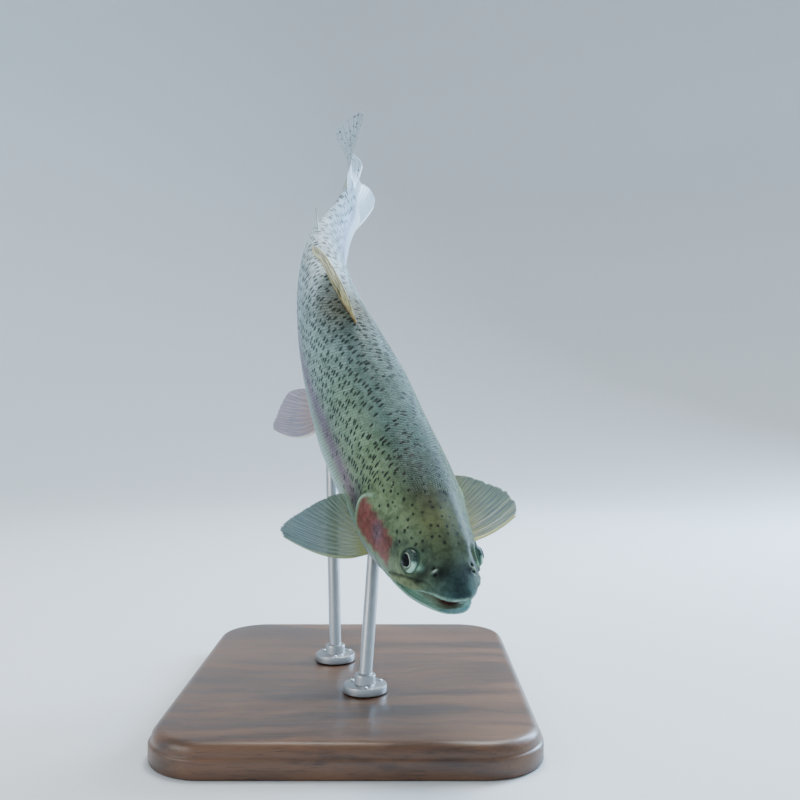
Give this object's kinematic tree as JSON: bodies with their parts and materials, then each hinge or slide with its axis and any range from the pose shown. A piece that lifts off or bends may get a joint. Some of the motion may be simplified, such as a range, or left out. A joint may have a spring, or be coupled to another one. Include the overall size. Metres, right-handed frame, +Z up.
{
  "type": "rainbow trout figure on a stand",
  "caption": "Life-size rainbow trout diving head down in a gentle S, held over a plain wooden base by steel rods.",
  "frame": {"origin": "centre of the base's underside", "axes": "+Z up; the head dives towards -Y and the tail rises towards +Y; +X is to the right of someone who looks along +Y"},
  "size_m": [0.21, 0.3226, 0.4155],
  "materials": {
    "skin": "wet, finely scaled",
    "fin": "thin, translucent",
    "eye": "clear, glossy",
    "base_wood": "satin, dark stained",
    "rod_steel": "brushed"
  },
  "bodies": {
    "root": {"head": "skin", "lower_jaw": "skin", "gill_cover_left": "skin", "gill_cover_right": "skin", "upper_jaw_left": "skin", "upper_jaw_right": "skin", "trunk_shoulder": "skin", "trunk_front": "skin", "trunk_middle": "skin", "trunk_rear": "skin", "tail_stem_front": "skin", "tail_stem_rear": "skin", "eye_left": "eye", "eye_right": "eye", "dorsal_fin": "fin", "adipose_fin": "fin", "anal_fin": "fin", "tail_fin": "fin", "pectoral_fin_left": "fin", "pectoral_fin_right": "fin", "pelvic_fin_left": "fin", "pelvic_fin_right": "fin", "stand_base": "base_wood", "stand_rod_front": "rod_steel", "stand_rod_rear": "rod_steel", "stand_pad_front": "rod_steel", "stand_pad_rear": "rod_steel", "stand_foot_front": "rod_steel", "stand_foot_rear": "rod_steel"}
  },
  "joints": []
}
